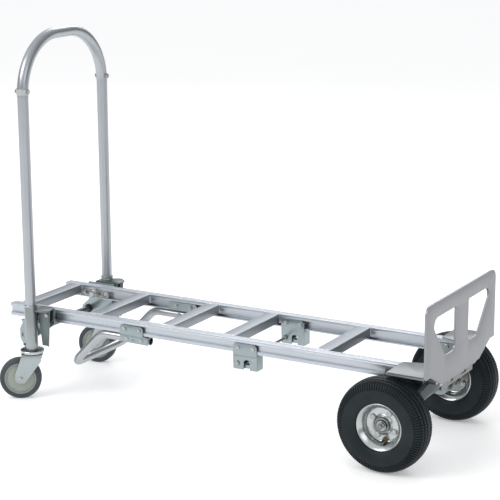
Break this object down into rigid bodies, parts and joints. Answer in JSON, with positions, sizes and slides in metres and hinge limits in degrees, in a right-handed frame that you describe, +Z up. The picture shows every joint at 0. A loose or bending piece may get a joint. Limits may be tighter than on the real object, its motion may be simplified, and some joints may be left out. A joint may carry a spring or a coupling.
{
  "type": "convertible hand truck",
  "caption": "Aluminium hand truck that converts to a platform cart: open ladder deck, upright nose plate, pneumatic wheels, swivel casters and an upright loop handle.",
  "frame": {"origin": "on the floor at the centre of the outline of the truck in its platform position", "axes": "+X from the handle end to the nose plate, +Y to the left side, +Z up"},
  "size_m": [1.405, 0.5534, 1.086],
  "materials": {
    "extruded_aluminium": "satin",
    "tube_aluminium": "satin",
    "plate_aluminium": "matt",
    "cast_aluminium": "rough cast",
    "zinc_plate": "zinc plated",
    "zinc_hardware": "zinc plated",
    "wheel_steel": "zinc plated",
    "socket_steel": "satin",
    "dull_steel": "dull",
    "tyre_rubber": "matt",
    "caster_rubber": "matt",
    "caster_plastic": "satin",
    "black_plastic": "matt"
  },
  "bodies": {
    "frame": {"side_rail_left": "extruded_aluminium", "side_rail_right": "extruded_aluminium", "cross_members": "extruded_aluminium", "nose_plate": "plate_aluminium", "nose_wings": "plate_aluminium", "axle_bracket_left": "zinc_plate", "axle_bracket_right": "zinc_plate", "nose_struts": "zinc_plate", "tie_bar": "dull_steel", "axle": "dull_steel", "axle_spacers": "dull_steel", "axle_end_hardware": "zinc_hardware", "nose_bolts": "zinc_hardware", "hinge_bolts": "zinc_hardware", "rail_bolts": "zinc_hardware", "end_castings": "cast_aluminium", "hinge_plate_left": "zinc_plate", "hinge_plate_right": "zinc_plate", "pivot_bolts": "zinc_hardware", "shaft_bushes": "black_plastic", "kick_loop": "tube_aluminium", "kick_brackets": "zinc_plate", "kick_back_plates": "zinc_plate", "gate_bracket_left": "zinc_plate", "gate_bracket_right": "zinc_plate"},
    "wheel_left": {"tyre_left": "tyre_rubber", "rim_outer_left": "wheel_steel", "rim_inner_left": "wheel_steel", "wheel_hub_left": "wheel_steel", "rim_hardware_left": "zinc_hardware"},
    "wheel_right": {"tyre_right": "tyre_rubber", "rim_outer_right": "wheel_steel", "rim_inner_right": "wheel_steel", "wheel_hub_right": "wheel_steel", "rim_hardware_right": "zinc_hardware"},
    "handle": {"handle_socket_left": "socket_steel", "handle_socket_right": "socket_steel", "catch_pins": "zinc_hardware", "pivot_lug_left": "socket_steel", "pivot_lug_right": "socket_steel", "handle_leg_left": "tube_aluminium", "handle_leg_right": "tube_aluminium", "handle_loop": "tube_aluminium", "joint_sleeves": "tube_aluminium", "handle_bolts": "zinc_hardware", "caster_stems": "zinc_hardware", "caster_caps": "zinc_plate", "swivel_balls": "dull_steel"},
    "latch": {"latch_shaft": "dull_steel", "latch_hooks": "zinc_plate"},
    "gate_catch": {"gate_rod": "dull_steel", "gate_pawls": "zinc_plate"},
    "caster_yoke_left": {"caster_fork_left": "zinc_plate", "caster_bolt_left": "zinc_hardware"},
    "caster_yoke_right": {"caster_fork_right": "zinc_plate", "caster_bolt_right": "zinc_hardware"},
    "caster_wheel_left": {"caster_tread_left": "caster_rubber", "caster_core_left": "caster_plastic"},
    "caster_wheel_right": {"caster_tread_right": "caster_rubber", "caster_core_right": "caster_plastic"}
  },
  "joints": [
    {"name": "wheel_spin_left", "type": "hinge", "parent": "frame", "child": "wheel_left", "pos_m": [0.5745, 0.2325, 0.128], "axis": [0, 1, 0], "continuous": true},
    {"name": "wheel_spin_right", "type": "hinge", "parent": "frame", "child": "wheel_right", "pos_m": [0.5745, -0.2325, 0.128], "axis": [0, 1, 0], "continuous": true},
    {"name": "handle_fold", "type": "hinge", "parent": "frame", "child": "handle", "pos_m": [-0.5935, 0, 0.244], "axis": [0, -1, 0], "range_deg": [0, 90]},
    {"name": "latch_release", "type": "hinge", "parent": "frame", "child": "latch", "pos_m": [-0.6375, 0, 0.183], "axis": [0, -1, 0], "range_deg": [0, 25], "stiffness_Nm_per_rad": 1, "springref_deg": -22.92},
    {"name": "gate_release", "type": "hinge", "parent": "frame", "child": "gate_catch", "pos_m": [0.0865, 0, 0.198], "axis": [0, 1, 0], "range_deg": [0, 50], "stiffness_Nm_per_rad": 0.5, "springref_deg": -28.65},
    {"name": "caster_swivel_left", "type": "hinge", "parent": "handle", "child": "caster_yoke_left", "pos_m": [-0.5935, 0.197, 0.135], "axis": [0, 0, 1], "continuous": true},
    {"name": "caster_spin_left", "type": "hinge", "parent": "caster_yoke_left", "child": "caster_wheel_left", "pos_m": [-0.62955, 0.18868, 0.062], "axis": [-0.225, 0.9744, 0], "continuous": true},
    {"name": "caster_swivel_right", "type": "hinge", "parent": "handle", "child": "caster_yoke_right", "pos_m": [-0.5935, -0.197, 0.135], "axis": [0, 0, 1], "continuous": true},
    {"name": "caster_spin_right", "type": "hinge", "parent": "caster_yoke_right", "child": "caster_wheel_right", "pos_m": [-0.62488, -0.21661, 0.062], "axis": [-0.5299, 0.848, 0], "continuous": true}
  ]
}
